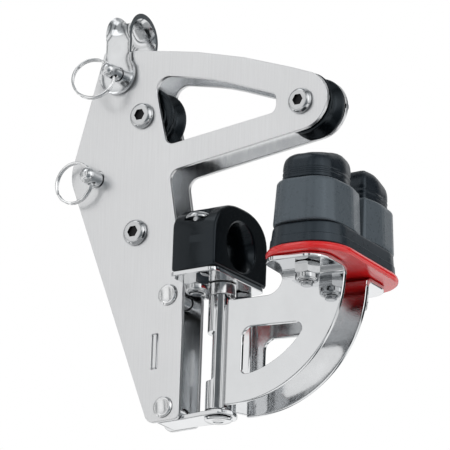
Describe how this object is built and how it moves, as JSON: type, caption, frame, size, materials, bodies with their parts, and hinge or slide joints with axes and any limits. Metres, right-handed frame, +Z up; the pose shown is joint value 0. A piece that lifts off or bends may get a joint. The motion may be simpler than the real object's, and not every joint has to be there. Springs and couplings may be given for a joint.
{
  "type": "pivoting lead block with cam cleat",
  "caption": "Twin-plate sheet-metal lead block with ball-bearing sheaves, a lashing shackle, a tang pin, and a cam cleat and fairlead on a hinged swinging arm.",
  "frame": {"origin": "on the axis of the tang pin, midway between the side plates", "axes": "+X along the plates towards the tip sheave, +Y square to the plates and away from the split rings, +Z up along the plates' long edge towards the shackle"},
  "size_m": [0.1333, 0.0625, 0.1633],
  "materials": {
    "brushed_stainless": "fine vertical brushing, semi-gloss",
    "polished_stainless": "mirror polished",
    "black_plastic": "moulded, half gloss",
    "grey_composite": "moulded, satin",
    "red_plastic": "moulded, glossy",
    "bearing_plastic": "smooth"
  },
  "bodies": {
    "frame": {"side_plate_front": "brushed_stainless", "side_plate_back": "brushed_stainless", "axle_upper": "polished_stainless", "axle_tip": "polished_stainless", "axle_lower": "polished_stainless", "axle_screw_upper_front": "polished_stainless", "axle_screw_upper_back": "polished_stainless", "axle_screw_tip_front": "polished_stainless", "axle_screw_tip_back": "polished_stainless", "axle_screw_lower_front": "polished_stainless", "axle_screw_lower_back": "polished_stainless", "rivet_upper": "polished_stainless", "rivet_lower": "polished_stainless", "tang_pin": "polished_stainless", "shackle_pin": "polished_stainless", "hinge_bracket": "polished_stainless", "hinge_pin": "polished_stainless", "hinge_bush_upper": "polished_stainless", "hinge_bush_lower": "polished_stainless", "fairlead": "black_plastic", "fairlead_screw_front": "polished_stainless", "fairlead_screw_back": "polished_stainless", "fairlead_nut_front": "polished_stainless", "fairlead_nut_back": "polished_stainless"},
    "sheave_upper": {"sheave_upper": "black_plastic"},
    "balls_upper": {"ball_ring_upper": "bearing_plastic"},
    "sheave_tip": {"sheave_tip": "black_plastic"},
    "balls_tip": {"ball_ring_tip": "bearing_plastic"},
    "sheave_lower": {"sheave_lower": "black_plastic"},
    "balls_lower": {"ball_ring_lower": "bearing_plastic"},
    "shackle": {"shackle": "polished_stainless"},
    "tang_ring": {"tang_ring": "polished_stainless"},
    "shackle_ring": {"shackle_ring": "polished_stainless"},
    "arm": {"swing_arm": "polished_stainless", "riser_plate": "red_plastic", "cleat_base": "black_plastic", "cam_post_near": "polished_stainless", "cam_post_far": "polished_stainless", "cleat_screw_near": "polished_stainless", "cleat_screw_far": "polished_stainless", "cleat_nut_near": "polished_stainless", "cleat_nut_far": "polished_stainless", "cam_spring_near": "polished_stainless", "cam_spring_far": "polished_stainless"},
    "cam_near": {"cam_near": "grey_composite", "cam_cap_near": "black_plastic"},
    "cam_balls_near": {"cam_ball_ring_near": "bearing_plastic"},
    "cam_far": {"cam_far": "grey_composite", "cam_cap_far": "black_plastic"},
    "cam_balls_far": {"cam_ball_ring_far": "bearing_plastic"}
  },
  "joints": [
    {"name": "sheave_upper_spin", "type": "hinge", "parent": "frame", "child": "sheave_upper", "pos_m": [0.0198, 0, 0.0219], "axis": [0, 1, 0], "continuous": true},
    {"name": "balls_upper_roll", "type": "hinge", "parent": "frame", "child": "balls_upper", "pos_m": [0.0198, 0, 0.0219], "axis": [0, 1, 0], "continuous": true},
    {"name": "sheave_tip_spin", "type": "hinge", "parent": "frame", "child": "sheave_tip", "pos_m": [0.0902, 0, 0.0174], "axis": [0, 1, 0], "continuous": true},
    {"name": "balls_tip_roll", "type": "hinge", "parent": "frame", "child": "balls_tip", "pos_m": [0.0902, 0, 0.0174], "axis": [0, 1, 0], "continuous": true},
    {"name": "sheave_lower_spin", "type": "hinge", "parent": "frame", "child": "sheave_lower", "pos_m": [0.0187, 0, -0.0234], "axis": [0, 1, 0], "continuous": true},
    {"name": "balls_lower_roll", "type": "hinge", "parent": "frame", "child": "balls_lower", "pos_m": [0.0187, 0, -0.0234], "axis": [0, 1, 0], "continuous": true},
    {"name": "shackle_pivot", "type": "hinge", "parent": "frame", "child": "shackle", "pos_m": [0.0087, 0, 0.0394], "axis": [0, 1, 0], "range_deg": [-100, 38]},
    {"name": "tang_ring_swing", "type": "hinge", "parent": "frame", "child": "tang_ring", "pos_m": [0, -0.0109, 0], "axis": [-0.1736, 0, 0.9848], "range_deg": [-8, 140]},
    {"name": "shackle_ring_swing", "type": "hinge", "parent": "frame", "child": "shackle_ring", "pos_m": [0.0087, -0.0124, 0.0394], "axis": [-0.3746, 0, 0.9272], "range_deg": [-24, 120]},
    {"name": "arm_swing", "type": "hinge", "parent": "frame", "child": "arm", "pos_m": [0.0535, 0, 0], "axis": [0, 0, 1], "range_deg": [-80, 70]},
    {"name": "cam_near_turn", "type": "hinge", "parent": "arm", "child": "cam_near", "pos_m": [0.10068, -0.01494, -0.027], "axis": [0, 0, 1], "range_deg": [-45, 0], "stiffness_Nm_per_rad": 0.03, "springref_deg": 22.92},
    {"name": "cam_balls_near_roll", "type": "hinge", "parent": "arm", "child": "cam_balls_near", "pos_m": [0.10068, -0.01494, -0.027], "axis": [0, 0, 1], "range_deg": [-23, 1]},
    {"name": "cam_far_turn", "type": "hinge", "parent": "arm", "child": "cam_far", "pos_m": [0.09737, 0.02291, -0.027], "axis": [0, 0, 1], "range_deg": [0, 45], "stiffness_Nm_per_rad": 0.03, "springref_deg": -22.92},
    {"name": "cam_balls_far_roll", "type": "hinge", "parent": "arm", "child": "cam_balls_far", "pos_m": [0.09737, 0.02291, -0.027], "axis": [0, 0, 1], "range_deg": [-1, 23]}
  ],
  "couplings": [
    {"joint": "balls_upper_roll", "follows": "sheave_upper_spin", "ratio": 0.64},
    {"joint": "balls_tip_roll", "follows": "sheave_tip_spin", "ratio": 0.64},
    {"joint": "balls_lower_roll", "follows": "sheave_lower_spin", "ratio": 0.64},
    {"joint": "cam_balls_near_roll", "follows": "cam_near_turn", "ratio": 0.5},
    {"joint": "cam_balls_far_roll", "follows": "cam_far_turn", "ratio": 0.5}
  ]
}
